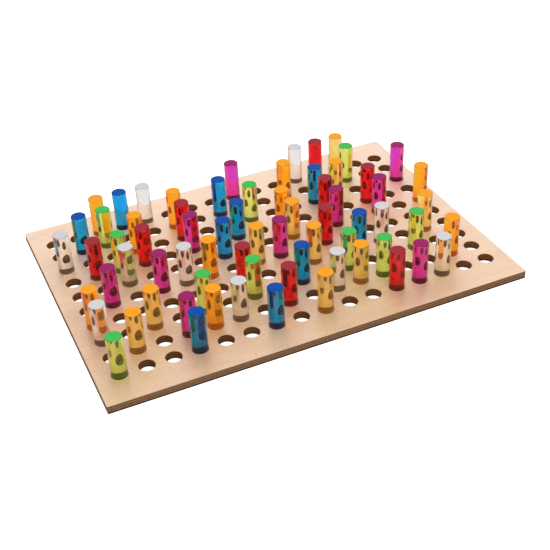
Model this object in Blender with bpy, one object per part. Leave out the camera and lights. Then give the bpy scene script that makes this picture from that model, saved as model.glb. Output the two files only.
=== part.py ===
"""A plywood peg board with lift-out translucent acrylic pegs, for Blender 4.5.

Metres, +Z up. The board lies flat on the ground plane with its long side along X,
and each peg stands on the same plane through a hole in the board.
"""

import bmesh
import bpy
from mathutils import Matrix, Vector

# Board: an A3 sheet of birch plywood
BOARD_LENGTH = 0.420
BOARD_DEPTH = 0.297
BOARD_THICKNESS = 0.008
BOARD_CORNER_RADIUS = 0.0015
CORNER_SEGMENTS = 3

# Holes, on a square grid centred on the board
HOLE_PITCH = 0.025
HOLE_DIAMETER = 0.0153
CUT_PAST_FACE = 0.002

# Pegs: plain rods cut to one length
PEG_DIAMETER = 0.0150
PEG_STANDS_OUT = 0.042
PEG_LENGTH = BOARD_THICKNESS + PEG_STANDS_OUT
ROUND_SIDES = 16

# The board seen from above, back row first: a letter is a peg, a dot an empty hole
LAYOUT = (
    "..OBC...M..CRA..",
    ".BG..O.B..O..G..",
    "C..O.R..G..BA..M",
    ".RGR.M.B.O.R.R..",
    "..C...B..A.M.M.O",
    ".M.MCO.AM.R.....",
    "O.....R..A.BC.A.",
    "C.A.G.G.B.G..G..",
    ".A.MOC.R.CAG..O.",
    "G..B..B.A..RMC..",
)

# For each letter: the colour's name, how many of its pegs are modelled, and the colour.
# The pegs are counted from the front row, so the ones left out stand at the back.
COLOURS = {
    "C": ("clear", 8, (0.88, 0.89, 0.90)),
    "A": ("amber", 8, (0.95, 0.62, 0.22)),
    "O": ("orange", 8, (0.95, 0.38, 0.04)),
    "G": ("green", 8, (0.22, 0.68, 0.16)),
    "B": ("blue", 9, (0.02, 0.24, 0.58)),
    "R": ("red", 9, (0.62, 0.03, 0.05)),
    "M": ("magenta", 9, (0.55, 0.06, 0.30)),
}
PLYWOOD_COLOUR = (0.72, 0.56, 0.40)


def clear_scene():
    for obj in list(bpy.data.objects):
        bpy.data.objects.remove(obj, do_unlink=True)


def new_collection(name):
    collection = bpy.data.collections.new(name)
    bpy.context.scene.collection.children.link(collection)
    return collection


def principled(name, colour, roughness, transmission=0.0):
    material = bpy.data.materials.new(name)
    material.use_nodes = True
    material.diffuse_color = (*colour, 1.0)
    shader = material.node_tree.nodes["Principled BSDF"]
    shader.inputs["Base Color"].default_value = (*colour, 1.0)
    shader.inputs["Roughness"].default_value = roughness
    shader.inputs["Metallic"].default_value = 0.0
    shader.inputs["Transmission Weight"].default_value = transmission
    return material


def mesh_object(name, bm, collection, material=None):
    mesh = bpy.data.meshes.new(name)
    bm.to_mesh(mesh)
    bm.free()
    obj = bpy.data.objects.new(name, mesh)
    if material:
        mesh.materials.append(material)
    collection.objects.link(obj)
    return obj


def hole_centre(column, row):
    """The place of a hole's axis on the ground plane, with row 0 at the front."""
    across = column - (len(LAYOUT[0]) - 1) / 2
    along = row - (len(LAYOUT) - 1) / 2
    return Vector((across * HOLE_PITCH, along * HOLE_PITCH, 0.0))


def add_rod(bm, diameter, bottom, top, at=Vector()):
    """An upright faceted rod; rods and holes share their facets' directions."""
    middle = Vector((0.0, 0.0, (bottom + top) / 2))
    bmesh.ops.create_cone(
        bm,
        cap_ends=True,
        segments=ROUND_SIDES,
        radius1=diameter / 2,
        radius2=diameter / 2,
        depth=top - bottom,
        matrix=Matrix.Translation(at + middle),
    )


def board_blank(collection, material):
    bm = bmesh.new()
    bmesh.ops.create_cube(bm, size=1.0)
    bmesh.ops.scale(bm, vec=(BOARD_LENGTH, BOARD_DEPTH, BOARD_THICKNESS), verts=bm.verts)
    bmesh.ops.translate(bm, vec=(0.0, 0.0, BOARD_THICKNESS / 2), verts=bm.verts)
    upright = [e for e in bm.edges if abs(e.verts[0].co.z - e.verts[1].co.z) > BOARD_THICKNESS / 2]
    bmesh.ops.bevel(
        bm,
        geom=upright,
        offset=BOARD_CORNER_RADIUS,
        segments=CORNER_SEGMENTS,
        profile=0.5,
        affect="EDGES",
    )
    return mesh_object("board", bm, collection, material)


def hole_cutters(collection):
    bm = bmesh.new()
    for row in range(len(LAYOUT)):
        for column in range(len(LAYOUT[0])):
            add_rod(
                bm,
                HOLE_DIAMETER,
                -CUT_PAST_FACE,
                BOARD_THICKNESS + CUT_PAST_FACE,
                hole_centre(column, row),
            )
    cutters = mesh_object("hole_cutters", bm, collection)
    cutters.hide_render = True
    cutters.display_type = "WIRE"
    return cutters


def build_board(parts, cutters):
    plywood = principled("birch_plywood", PLYWOOD_COLOUR, roughness=0.6)
    board = board_blank(parts, plywood)
    drill = board.modifiers.new("holes", "BOOLEAN")
    drill.operation = "DIFFERENCE"
    drill.solver = "EXACT"
    drill.object = hole_cutters(cutters)


def peg_places(letter):
    """The axes of one colour's pegs, from the front row to the back, left to right."""
    rows = list(reversed(LAYOUT))
    return [
        hole_centre(column, row)
        for row, holes in enumerate(rows)
        for column, mark in enumerate(holes)
        if mark == letter
    ]


def build_pegs(parts):
    rod = bmesh.new()
    add_rod(rod, PEG_DIAMETER, 0.0, PEG_LENGTH)
    for letter, (name, count, colour) in COLOURS.items():
        acrylic = principled(f"{name}_acrylic", colour, roughness=0.08, transmission=0.9)
        for number, place in enumerate(peg_places(letter)[:count], start=1):
            peg = mesh_object(f"peg_{name}_{number:02d}", rod.copy(), parts, acrylic)
            peg.location = place
    rod.free()


def main():
    clear_scene()
    parts = new_collection("peg_board_with_acrylic_pegs")
    cutters = new_collection("cutters")
    build_board(parts, cutters)
    build_pegs(parts)


main()
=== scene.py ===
"""A laser-cut birch plywood peg board with translucent acrylic pegs, for Blender 4.5.

Metres, +Z up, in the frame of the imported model: the board lies on the ground plane
with its long side along X, and every peg stands on the same plane through a hole.
"""

from math import cos, radians, sin

import bmesh
import bpy
import numpy as np
from mathutils import Matrix, Vector


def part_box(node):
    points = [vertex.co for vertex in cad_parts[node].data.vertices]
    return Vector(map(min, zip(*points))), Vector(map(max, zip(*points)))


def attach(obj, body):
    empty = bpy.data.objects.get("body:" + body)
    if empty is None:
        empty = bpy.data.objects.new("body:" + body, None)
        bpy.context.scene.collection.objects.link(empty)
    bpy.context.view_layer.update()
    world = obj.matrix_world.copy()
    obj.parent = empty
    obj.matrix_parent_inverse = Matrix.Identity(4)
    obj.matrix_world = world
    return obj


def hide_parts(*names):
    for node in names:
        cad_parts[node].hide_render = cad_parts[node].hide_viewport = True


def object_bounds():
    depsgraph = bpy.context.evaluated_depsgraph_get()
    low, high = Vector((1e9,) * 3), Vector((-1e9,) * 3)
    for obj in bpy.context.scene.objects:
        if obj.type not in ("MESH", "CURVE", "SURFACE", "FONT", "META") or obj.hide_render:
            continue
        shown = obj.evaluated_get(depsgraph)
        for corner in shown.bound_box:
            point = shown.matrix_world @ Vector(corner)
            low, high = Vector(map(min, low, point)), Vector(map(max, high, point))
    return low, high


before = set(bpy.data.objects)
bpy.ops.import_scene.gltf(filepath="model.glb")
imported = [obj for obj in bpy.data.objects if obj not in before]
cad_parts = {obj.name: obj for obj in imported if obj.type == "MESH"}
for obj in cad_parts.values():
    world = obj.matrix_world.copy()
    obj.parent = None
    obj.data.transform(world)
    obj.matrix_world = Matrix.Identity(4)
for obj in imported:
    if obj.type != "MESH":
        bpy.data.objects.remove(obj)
cad_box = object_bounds()

# Board
COLUMNS, ROWS = 16, 10
HOLE_PITCH = 0.025
HOLE_RADIUS = 0.00765
HOLE_SEGMENTS = 48  # a multiple of 8, so that a point falls on each corner of a cell
BOARD_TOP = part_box("board")[1][2]
BOARD_CORNER_RADIUS = 0.0015
CORNER_POINTS = 9
EASED_EDGE = 0.0002
PLY_WANDER = 0.0004  # from the lowest to the highest that a ply strays along a cut
# Of the five strips of a cell or the margin, the first and last are faces, and the rest is cut
CUT_STRIPS = (0, 1, 1, 1, 0)

# Pegs
PEG_RADIUS = 0.0075
PEG_TOP = cad_box[1][2]
PEG_SEGMENTS = 64
PEG_EASED_EDGE = 0.00025
ACRYLIC_IOR = 1.49

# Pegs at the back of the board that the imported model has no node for: column and row, each
# counted from the front left
REAR_PEGS = {
    "clear": ((4, 9), (11, 9)),
    "amber": ((12, 7), (13, 9)),
    "orange": ((10, 8), (2, 9)),
    "green": ((2, 8), (13, 8)),
    "blue": ((3, 9),),
    "red": ((12, 9),),
    "magenta": ((8, 9),),
}

# For each acrylic: what is left of red, green and blue light after one peg's diameter, in linear
# light, the strength of a painted glow of its sides in that colour, and the colour of its sawn ends
ACRYLICS = {
    "clear": ((0.98, 0.97, 0.95), 0.004, "#d2cecc"),
    "amber": ((0.99, 0.76, 0.23), 0.025, "#f7a01a"),
    "orange": ((0.99, 0.46, 0.02), 0.06, "#f8a01c"),
    "green": ((0.78, 0.98, 0.26), 0.015, "#46ba52"),
    "blue": ((0.001, 0.44, 0.96), 0.003, "#064ba0"),
    "red": ((0.84, 0.009, 0.02), 0.02, "#a02a36"),
    "magenta": ((0.83, 0.055, 0.57), 0.006, "#9a1e62"),
}
WHITE = (1.0, 1.0, 1.0, 1.0)

# Points this close are one point, and a surface that bends more sharply than this has an edge
DOUBLES_WITHIN = 1e-6
SHARP_BEND = radians(25)

# Light: a dim room that glows overhead, a bright backdrop behind the object, and two lamps.
# A glow grows from nothing to its full strength between two cosines of the angle from its aim, and
# the backdrop also fades out between two heights, as sines of the elevation.
ROOM_LIGHT = 0.18
OVERHEAD = (0.0, 0.0, 1.0), 0.60, 0.90, 0.3  # aim, the two cosines, strength
BACKDROP = (0.55, 0.84, 0.0), 0.40, 0.85, 4.5
BACKDROP_TOP = 0.60, 0.44
BACKDROP_COLOUR = "#e6edf8"
# Place, width in metres, watts: the main one stands behind the board and shines through the pegs,
# and the small one fills in from the front
LAMPS = (((0.20, 1.00, 2.00), 1.6, 14.5), ((-0.05, -0.34, 0.75), 0.6, 2.2))

# Floor: its own white round the board, and a darker painted shade under it, how strongly it glows
# round the board, and how much more of a glow the camera sees
FLOOR_IN_LIGHT, FLOOR_PAINTED_SHADE = "#b4b4b4", "#6c6c6c"
FLOOR_GLOW = 0.35
FLOOR_GLOW_SEEN = 0.95
FLOOR_REACH = 6.0
FLOOR_DROP = 0.0002

# Camera
CAMERA_PLACE = (-0.3204, -0.7904, 0.5925)
AZIMUTH, ELEVATION, ROLL = radians(-22.69), radians(35.767), radians(-2.95)
LENS_MM, SENSOR_MM = 67.27, 36.0


def colour(code):
    """An sRGB hex colour as linear RGBA."""
    parts = [int(code[i : i + 2], 16) / 255 for i in (1, 3, 5)]
    linear = (c / 12.92 if c <= 0.04045 else ((c + 0.055) / 1.055) ** 2.4 for c in parts)
    return (*linear, 1.0)


# Materials


def add(tree, kind, links=None, values=None, stops=(), **settings):
    """A node of this kind, with sockets linked from outputs, sockets set to values, and settings.

    A Color Ramp also has stops: (place, hex colour), in order."""
    node = tree.nodes.new(kind)
    for key, value in settings.items():
        setattr(node, key, value)
    for key, value in (values or {}).items():
        node.inputs[key].default_value = value
    for key, output in (links or {}).items():
        tree.links.new(output, node.inputs[key])
    for number, (place, code) in enumerate(stops):
        elements = node.color_ramp.elements
        element = elements[number] if number < 2 else elements.new(place)
        element.position = place
        element.color = colour(code)
    return node


def new_material(name):
    """An empty material, and its node tree."""
    material = bpy.data.materials.new(name)
    material.use_nodes = True
    material.node_tree.nodes.clear()
    return material, material.node_tree


def grain(tree, place, per_metre, detail=2.0, distortion=0.0):
    """Stretched noise: per_metre holds how many grains a metre has along X, Y and Z."""
    mapped = add(tree, "ShaderNodeMapping", {"Vector": place}, {"Scale": per_metre}).outputs[0]
    values = {"Scale": 1.0, "Detail": detail, "Distortion": distortion}
    return add(tree, "ShaderNodeTexNoise", {"Vector": mapped}, values).outputs["Fac"]


def darkened(tree, base, pattern, low, high, dark):
    """The base colour, times a dark one where the pattern is under low, and whole where over high.

    Mix's colour sockets are 6 and 7, and its colour output is 2."""
    stops = (low, dark), (high, "#ffffff")
    shade = add(tree, "ShaderNodeValToRGB", {"Fac": pattern}, stops=stops).outputs["Color"]
    product = {"data_type": "RGBA", "blend_type": "MULTIPLY"}
    return add(tree, "ShaderNodeMix", {6: base, 7: shade}, {0: 1.0}, **product).outputs[2]


def birch_veneer():
    """Sanded rotary-cut birch: pale and even, with soft wide figure, fine fibre lines and short
    brown flecks."""
    material, tree = new_material("sanded_birch_veneer")
    place = add(tree, "ShaderNodeTexCoord").outputs["Object"]
    figure = grain(tree, place, (4.0, 26.0, 1.0), 3.0, 0.6)  # bands about 40 mm wide
    fibre = grain(tree, place, (35.0, 1900.0, 1.0))  # lines about 0.5 mm apart, 30 mm long
    pores = grain(tree, place, (230.0, 2200.0, 1.0), 0.0)  # flecks 0.4 mm wide, 4 mm long
    bands = (0.30, "#e6bb92"), (0.50, "#ecc49c"), (0.72, "#f0cba6")
    base = add(tree, "ShaderNodeValToRGB", {"Fac": figure}, stops=bands).outputs["Color"]
    lined = darkened(tree, base, fibre, 0.30, 0.62, "#f3ece4")
    flecked = darkened(tree, lined, pores, 0.20, 0.30, "#d9c2aa")
    rough = add(tree, "ShaderNodeMapRange", {"Value": fibre}, {"To Min": 0.32, "To Max": 0.42})
    depth = {"Strength": 0.15, "Distance": 0.00005}
    relief = add(tree, "ShaderNodeBump", {"Height": fibre}, depth)
    links = {"Base Color": flecked, "Roughness": rough.outputs[0], "Normal": relief.outputs[0]}
    shader = add(tree, "ShaderNodeBsdfPrincipled", links, {"Specular IOR Level": 0.8})
    add(tree, "ShaderNodeOutputMaterial", {"Surface": shader.outputs[0]})
    return material


def laser_cut_ply(name, long_grain, end_grain, glue, darkest_ply):
    """A laser-cut plywood surface: five toasted plies, alternately long and end grain, with dark
    glue lines between them. The lowest ply is darkest, towards the bottom of the cut."""
    material, tree = new_material(name)
    place = add(tree, "ShaderNodeTexCoord").outputs["Object"]
    height = add(tree, "ShaderNodeSeparateXYZ", {0: place}).outputs["Z"]
    wander = add(tree, "ShaderNodeTexNoise", {"Vector": place}, {"Scale": 60.0, "Detail": 1.0})
    links = {0: wander.outputs[0], 2: height}
    strayed = add(tree, "ShaderNodeMath", links, {1: PLY_WANDER}, operation="MULTIPLY_ADD")
    faces = {"From Min": PLY_WANDER / 2, "From Max": BOARD_TOP + PLY_WANDER / 2}
    share = add(tree, "ShaderNodeMapRange", {"Value": strayed.outputs[0]}, faces).outputs[0]
    layers = (
        (0.00, glue), (0.05, darkest_ply), (0.20, darkest_ply),
        (0.24, glue), (0.27, end_grain), (0.37, end_grain),
        (0.41, glue), (0.45, long_grain), (0.57, long_grain),
        (0.61, glue), (0.65, end_grain), (0.76, end_grain),
        (0.80, glue), (0.84, long_grain),
    )
    plies = add(tree, "ShaderNodeValToRGB", {"Fac": share}, stops=layers).outputs["Color"]
    fibre = grain(tree, place, (250.0, 250.0, 3000.0))  # about 0.3 mm thick, 4 mm long
    toasted = darkened(tree, plies, fibre, 0.30, 0.65, "#d6d0ca")
    depth = {"Strength": 0.3, "Distance": 0.0001}
    relief = add(tree, "ShaderNodeBump", {"Height": fibre}, depth)
    links = {"Base Color": toasted, "Normal": relief.outputs[0]}
    values = {"Roughness": 0.8, "Specular IOR Level": 0.3}
    shader = add(tree, "ShaderNodeBsdfPrincipled", links, values)
    add(tree, "ShaderNodeOutputMaterial", {"Surface": shader.outputs[0]})
    return material


def cast_acrylic(name, kept, glow):
    """Cast acrylic rod, dyed through and polished: clear glassy sides that show what is behind,
    with a faint painted glow in the dye's colour.
    """
    material, tree = new_material(f"{name}_cast_acrylic")
    loss = -np.log(np.array(kept)) / (2 * PEG_RADIUS)  # per metre, for each channel
    density = float(loss.max())
    place = add(tree, "ShaderNodeTexCoord").outputs["Object"]
    haze = grain(tree, place, (300.0, 300.0, 40.0))  # drawing lines along the rod, 3 mm apart
    rough = add(tree, "ShaderNodeMapRange", {"Value": haze}, {"To Min": 0.0, "To Max": 0.06})
    values = {"Base Color": WHITE, "IOR": ACRYLIC_IOR, "Transmission Weight": 1.0, "Metallic": 0.0}
    # Painted glow: the sides give off light in the colour that the dye lets through
    values |= {"Emission Color": (*kept, 1.0), "Emission Strength": glow}
    shader = add(tree, "ShaderNodeBsdfPrincipled", {"Roughness": rough.outputs[0]}, values)
    absorbed = {"Color": (*(1 - loss / density), 1.0), "Density": density}
    dye = add(tree, "ShaderNodeVolumeAbsorption", None, absorbed)
    add(tree, "ShaderNodeOutputMaterial", {"Surface": shader.outputs[0], "Volume": dye.outputs[0]})
    return material


def sawn_end(name, code):
    """The sawn end of an acrylic rod: an even frost in the dye's colour, with faint saw marks."""
    material, tree = new_material(f"{name}_sawn_acrylic_end")
    place = add(tree, "ShaderNodeTexCoord").outputs["Object"]
    marks = grain(tree, place, (400.0, 5000.0, 1.0), 1.0)  # scratches about 0.2 mm apart
    dye = add(tree, "ShaderNodeRGB")
    dye.outputs[0].default_value = colour(code)
    frosted = darkened(tree, dye.outputs[0], marks, 0.30, 0.60, "#f4f4f4")
    rough = add(tree, "ShaderNodeMapRange", {"Value": marks}, {"To Min": 0.45, "To Max": 0.60})
    depth = {"Strength": 0.1, "Distance": 0.00003}
    relief = add(tree, "ShaderNodeBump", {"Height": marks}, depth)
    links = {"Base Color": frosted, "Roughness": rough.outputs[0], "Normal": relief.outputs[0]}
    shader = add(tree, "ShaderNodeBsdfPrincipled", links, {"Specular IOR Level": 0.02})
    add(tree, "ShaderNodeOutputMaterial", {"Surface": shader.outputs[0]})
    return material


# Shapes


def strips(rings):
    """Points and quads of a surface through closed loops of points, given as (loop, point, 3)."""
    count, size = rings.shape[:2]
    here = np.arange(count * size).reshape(count, size)
    there = np.roll(here, -1, axis=1)
    quads = np.stack([here[:-1], here[1:], there[1:], there[:-1]], axis=-1)
    return rings.reshape(-1, 3), quads.reshape(-1, 4)


def make_piece(name, points, quads, finishes, slots):
    """A piece of these points and quads, with its doubles merged, smooth but for sharp bends."""
    mesh = bpy.data.meshes.new(name)
    mesh.from_pydata(points.tolist(), [], quads.tolist())
    for finish in finishes:
        mesh.materials.append(finish)
    mesh.polygons.foreach_set("material_index", slots.astype(np.int32))
    mesh.polygons.foreach_set("use_smooth", np.ones(len(quads), bool))
    bm = bmesh.new()
    bm.from_mesh(mesh)
    bmesh.ops.remove_doubles(bm, verts=bm.verts, dist=DOUBLES_WITHIN)
    bm.to_mesh(mesh)
    bm.free()
    mesh.set_sharp_from_angle(angle=SHARP_BEND)
    piece = bpy.data.objects.new(name, mesh)
    bpy.context.scene.collection.objects.link(piece)
    return piece


def hole_centres(column, row):
    """Where the axes of these holes meet the ground, as (hole, 2)."""
    across = (np.ravel(column) - (COLUMNS - 1) / 2) * HOLE_PITCH
    along = (np.ravel(row) - (ROWS - 1) / 2) * HOLE_PITCH
    return np.column_stack([across, along])


def peg_nodes():
    """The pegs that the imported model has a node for."""
    return [node for node in sorted(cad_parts) if node.startswith("peg_")]


def peg_axes():
    """Where the axes of all the pegs meet the ground, as (peg, 2)."""
    boxes = np.array([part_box(node) for node in peg_nodes()])
    rear = [hole for holes in REAR_PEGS.values() for hole in holes]
    return np.concatenate([boxes[:, :, :2].mean(axis=1), hole_centres(*zip(*rear))])


def round_the_edge(face, eased, wall):
    """Six loops from the board's top, over an eased edge, down a wall and back under, from loops
    in plan."""
    levels = (
        (face, BOARD_TOP), (eased, BOARD_TOP), (wall, BOARD_TOP - EASED_EDGE),
        (wall, EASED_EDGE), (eased, 0.0), (face, 0.0),
    )
    return np.stack([np.column_stack([plan, np.full(len(plan), z)]) for plan, z in levels])


def hole_cells(axes):
    """Points and quads of a square cell round each hole, and of the hole's wall.

    A point at angle a lies on the circle at the hole's radius, and on the square at half a pitch
    divided by the larger of |cos a| and |sin a|, so that neighbouring cells share their points."""
    turn = np.arange(HOLE_SEGMENTS) * 2 * np.pi / HOLE_SEGMENTS
    ray = np.column_stack([np.cos(turn), np.sin(turn)])
    square = ray * HOLE_PITCH / 2 / np.abs(ray).max(axis=1, keepdims=True)
    rings = round_the_edge(square, ray * (HOLE_RADIUS + EASED_EDGE), ray * HOLE_RADIUS)
    cell, cell_quads = strips(rings)
    centres = np.column_stack([axes, np.zeros(len(axes))])
    points = (cell + centres[:, None]).reshape(-1, 3)
    first = np.arange(len(axes)) * len(cell)
    return points, (cell_quads + first[:, None, None]).reshape(-1, 4)


def board_margin():
    """Points and quads from the outline of all the cells to a rectangle whose corners are arcs.

    Each side is worked out as seen to the right, and then turned. Its inner line has the points
    of its cells, and repeats its corner for every point of the arc."""
    cells = np.array([COLUMNS, ROWS])
    inner = cells * HOLE_PITCH / 2
    outer = np.array(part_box("board")[1][:2])
    share = np.tan(np.linspace(-np.pi / 4, np.pi / 4, HOLE_SEGMENTS // 4 + 1))[:-1] / 2
    bend = np.linspace(0, np.pi / 2, CORNER_POINTS)
    arc = np.column_stack([np.cos(bend), np.sin(bend)])
    face, outline, inset = [], [], []
    for quarter in range(4):
        turn = quarter * np.pi / 2
        spin = np.array([[cos(turn), -sin(turn)], [sin(turn), cos(turn)]])
        # Along this side, and then across it
        (count, _), (half_side, across), (reach_side, reach_across) = (
            np.roll(pair, 1 + quarter) for pair in (cells, inner, outer)
        )
        along = ((np.arange(count)[:, None] + 0.5 + share).ravel() - count / 2)[1:] * HOLE_PITCH
        side = np.column_stack([np.full(len(along), across), along])
        corner = np.tile([across, half_side], (CORNER_POINTS, 1))
        face.append(np.concatenate([side, corner]) @ spin.T)
        far = along * (reach_side - BOARD_CORNER_RADIUS) / half_side
        middle = np.array([reach_across, reach_side]) - BOARD_CORNER_RADIUS
        for loop, back in ((outline, 0.0), (inset, EASED_EDGE)):
            side = np.column_stack([np.full(len(along), reach_across - back), far])
            corner = middle + (BOARD_CORNER_RADIUS - back) * arc
            loop.append(np.concatenate([side, corner]) @ spin.T)
    face, outline, inset = (np.concatenate(loop)[::-1] for loop in (face, outline, inset))
    return strips(round_the_edge(face, inset, outline))


def build_board(finishes):
    """The board: a cell for each hole, and a margin round all the cells.

    Its finishes are the faces', the outer edge's, an empty hole's and a held hole's, which is
    painted lighter."""
    column, row = np.meshgrid(np.arange(COLUMNS), np.arange(ROWS))
    axes = hole_centres(column, row)
    cells, cell_quads = hole_cells(axes)
    margin, margin_quads = board_margin()
    points = np.concatenate([cells, margin])
    quads = np.concatenate([cell_quads, margin_quads + len(cells)])

    # A hole that holds a peg takes the held hole's finish, a painted lighter wall
    held = np.linalg.norm(axes[:, None] - peg_axes(), axis=2).min(axis=1) < HOLE_RADIUS
    hole_slots = np.outer(2 + held, np.repeat(CUT_STRIPS, HOLE_SEGMENTS)).ravel()
    edge_slots = np.repeat(CUT_STRIPS, len(margin_quads) // len(CUT_STRIPS))
    slots = np.concatenate([hole_slots, edge_slots])
    return make_piece("plywood_board", points, quads, finishes, slots)


def build_peg(name, axis, finishes):
    """A peg: the profile of half a rod with eased ends, turned round its axis.

    Its finishes are the sides' and the sawn ends'."""
    ease = PEG_EASED_EDGE
    profile = np.array([
        (0.0, 0.0), (PEG_RADIUS - ease, 0.0), (PEG_RADIUS, ease),
        (PEG_RADIUS, PEG_TOP - ease), (PEG_RADIUS - ease, PEG_TOP), (0.0, PEG_TOP),
    ])
    turn = np.arange(PEG_SEGMENTS) * 2 * np.pi / PEG_SEGMENTS
    radius, height = profile[:, :1], profile[:, 1:]
    x, y = axis[0] + radius * np.cos(turn), axis[1] + radius * np.sin(turn)
    points, quads = strips(np.stack([x, y, height + 0 * turn], axis=-1))
    ends = np.repeat([1, 0, 0, 0, 1], PEG_SEGMENTS)
    return make_piece(name, points, quads[:, ::-1], finishes, ends)


def build_pegs():
    """Every peg in its acrylic. Those with no node have no body either, and ride on the board."""
    acrylics = {
        dye: [cast_acrylic(dye, kept, glow), sawn_end(dye, end)]
        for dye, (kept, glow, end) in ACRYLICS.items()
    }
    for node in peg_nodes():
        low, high = np.array(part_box(node))
        dye = node.split("_")[1]
        peg = build_peg(f"acrylic_{node}", (low[:2] + high[:2]) / 2, acrylics[dye])
        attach(peg, node)
        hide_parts(node)
    for dye, holes in REAR_PEGS.items():
        for number, axis in enumerate(hole_centres(*zip(*holes)), start=1):
            peg = build_peg(f"acrylic_rear_peg_{dye}_{number:02d}", axis, acrylics[dye])
            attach(peg, "board")


# Studio


def white_table():
    """A lit white table top, with painted shade where the board covers it: darker there and without
    its glow.

    A point is on open floor where |x| or |y| is more than that half side of the board."""
    material, tree = new_material("white_table")
    place = add(tree, "ShaderNodeTexCoord").outputs["Object"]
    span = add(tree, "ShaderNodeVectorMath", {0: place}, operation="ABSOLUTE").outputs[0]
    sides = {1: (1 / cad_box[1][0], 1 / cad_box[1][1], 0.0)}
    share = add(tree, "ShaderNodeVectorMath", {0: span}, sides, operation="MULTIPLY").outputs[0]
    parts = add(tree, "ShaderNodeSeparateXYZ", {0: share}).outputs
    far = add(tree, "ShaderNodeMath", {0: parts[0], 1: parts[1]}, operation="MAXIMUM").outputs[0]
    outside = add(tree, "ShaderNodeMath", {0: far}, {1: 1.0}, operation="GREATER_THAN").outputs[0]
    # Painted shade under the board: no glow there, and a darker grey tone below
    lit = add(tree, "ShaderNodeMath", {0: outside}, {1: FLOOR_GLOW}, operation="MULTIPLY")
    seen = add(tree, "ShaderNodeLightPath").outputs["Is Camera Ray"]
    links = {0: seen, 2: lit.outputs[0]}
    glow = add(tree, "ShaderNodeMath", links, {1: FLOOR_GLOW_SEEN}, operation="MULTIPLY_ADD")
    tones = (0.0, FLOOR_PAINTED_SHADE), (1.0, FLOOR_IN_LIGHT)
    tone = add(tree, "ShaderNodeValToRGB", {"Fac": outside}, stops=tones).outputs["Color"]
    links = {"Base Color": tone, "Emission Strength": glow.outputs[0]}
    values = {"Roughness": 0.9, "Emission Color": WHITE}
    shader = add(tree, "ShaderNodeBsdfPrincipled", links, values)
    add(tree, "ShaderNodeOutputMaterial", {"Surface": shader.outputs[0]})
    return material


def build_floor():
    """A pale floor, a hair below the ground plane."""
    signs = (-1, -1), (1, -1), (1, 1), (-1, 1)
    corners = [(x * FLOOR_REACH, y * FLOOR_REACH, -FLOOR_DROP) for x, y in signs]
    mesh = bpy.data.meshes.new("floor")
    mesh.from_pydata(corners, [], [(0, 1, 2, 3)])
    mesh.materials.append(white_table())
    floor = bpy.data.objects.new("floor", mesh)
    bpy.context.scene.collection.objects.link(floor)


def light_the_room():
    """A dim room with a glow overhead, and a bright backdrop of some height behind the object.

    The camera sees the room as plain white, and nothing of the backdrop."""
    world = bpy.data.worlds.new("studio")
    world.use_nodes = True
    tree = world.node_tree
    tree.nodes.clear()
    towards = add(tree, "ShaderNodeTexCoord").outputs["Object"]
    ahead = add(tree, "ShaderNodeVectorMath", {0: towards}, operation="NORMALIZE").outputs[0]
    height = add(tree, "ShaderNodeSeparateXYZ", {0: ahead}).outputs["Z"]
    seen = add(tree, "ShaderNodeLightPath").outputs["Is Camera Ray"]

    def soft_step(value, start, full, light=1.0):
        """Light that grows from nothing at start to its whole at full."""
        ends = {"From Min": start, "From Max": full, "To Max": light}
        smooth = {"interpolation_type": "SMOOTHSTEP"}
        return add(tree, "ShaderNodeMapRange", {"Value": value}, ends, **smooth).outputs[0]

    def facing(aim, start, full, light):
        """Light that grows as the direction nears the aim."""
        aim = tuple(Vector(aim).normalized())
        near = add(tree, "ShaderNodeVectorMath", {0: ahead}, {1: aim}, operation="DOT_PRODUCT")
        return soft_step(near.outputs["Value"], start, full, light)

    def light_source(strength, to_camera, shade):
        """A background of this strength and colour, which shows the camera another strength."""
        links, values = {0: seen, 2: strength}, {3: to_camera}
        shown = add(tree, "ShaderNodeMix", links, values, data_type="FLOAT").outputs[0]
        return add(tree, "ShaderNodeBackground", {"Strength": shown}, {"Color": shade}).outputs[0]

    links = {0: facing(*OVERHEAD)}
    overhead = add(tree, "ShaderNodeMath", links, {1: ROOM_LIGHT}, operation="ADD").outputs[0]
    links = {0: facing(*BACKDROP), 1: soft_step(height, *BACKDROP_TOP)}
    behind = add(tree, "ShaderNodeMath", links, operation="MULTIPLY").outputs[0]
    room = light_source(overhead, 1.0, WHITE)
    backdrop = light_source(behind, 0.0, colour(BACKDROP_COLOUR))
    background = add(tree, "ShaderNodeAddShader", {0: room, 1: backdrop})
    add(tree, "ShaderNodeOutputWorld", {"Surface": background.outputs[0]})
    bpy.context.scene.world = world


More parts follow.
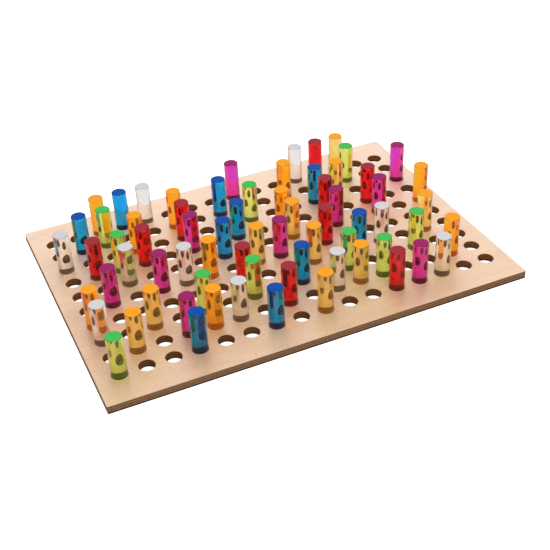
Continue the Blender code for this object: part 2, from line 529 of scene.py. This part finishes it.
def hang_lamps():
    """Round soft lamps, each turned to the middle of the board."""
    for number, (place, width, watts) in enumerate(LAMPS, start=1):
        light = bpy.data.lights.new(f"lamp_{number}", "AREA")
        light.shape = "DISK"
        light.size = width
        light.energy = watts
        lamp = bpy.data.objects.new(f"lamp_{number}", light)
        lamp.location = place
        lamp.rotation_euler = (-Vector(place)).to_track_quat("-Z", "Y").to_euler()
        bpy.context.scene.collection.objects.link(lamp)


def place_camera():
    """The camera, from where it stands and its azimuth, elevation and roll."""
    right = Vector((cos(AZIMUTH), sin(AZIMUTH), 0.0))
    level = Vector((-sin(AZIMUTH), cos(AZIMUTH), 0.0))
    ahead = level * cos(ELEVATION) - Vector((0.0, 0.0, sin(ELEVATION)))
    up = right.cross(ahead)
    rolled_right = right * cos(ROLL) + up * sin(ROLL)
    rolled_up = up * cos(ROLL) - right * sin(ROLL)
    turn = Matrix((rolled_right, rolled_up, -ahead)).transposed().to_4x4()
    lens = bpy.data.cameras.new("camera")
    lens.sensor_width = SENSOR_MM
    lens.lens = LENS_MM
    camera = bpy.data.objects.new("camera", lens)
    camera.matrix_world = Matrix.Translation(CAMERA_PLACE) @ turn
    bpy.context.scene.collection.objects.link(camera)
    bpy.context.scene.camera = camera


def set_light_paths():
    """Enough bounces for light through a row of pegs, and colours shown as they are."""
    scene = bpy.context.scene
    scene.view_settings.view_transform = "Standard"
    scene.cycles.max_bounces = 24
    scene.cycles.transmission_bounces = 24
    scene.cycles.glossy_bounces = 12
    scene.cycles.diffuse_bounces = 5
    scene.cycles.sample_clamp_indirect = 8.0


# The object and its studio

outer_edge = laser_cut_ply("laser_cut_outer_edge", "#a67a53", "#c4946a", "#523821", "#4e351f")
hole_wall = laser_cut_ply("laser_cut_hole_wall", "#b87a44", "#cb8b50", "#7a4e27", "#70482a")
# Painted light: the wall of a hole that holds a peg is a lighter copy of the hole wall
painted_lit_hole_wall = laser_cut_ply("painted_lit_laser_cut_wall_round_a_peg", "#dc9a62", "#e4a874", "#a87040", "#9c683a")
plywood = build_board([birch_veneer(), outer_edge, hole_wall, painted_lit_hole_wall])
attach(plywood, "board")
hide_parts("board")
build_pegs()
build_floor()
light_the_room()
hang_lamps()
place_camera()
set_light_paths()
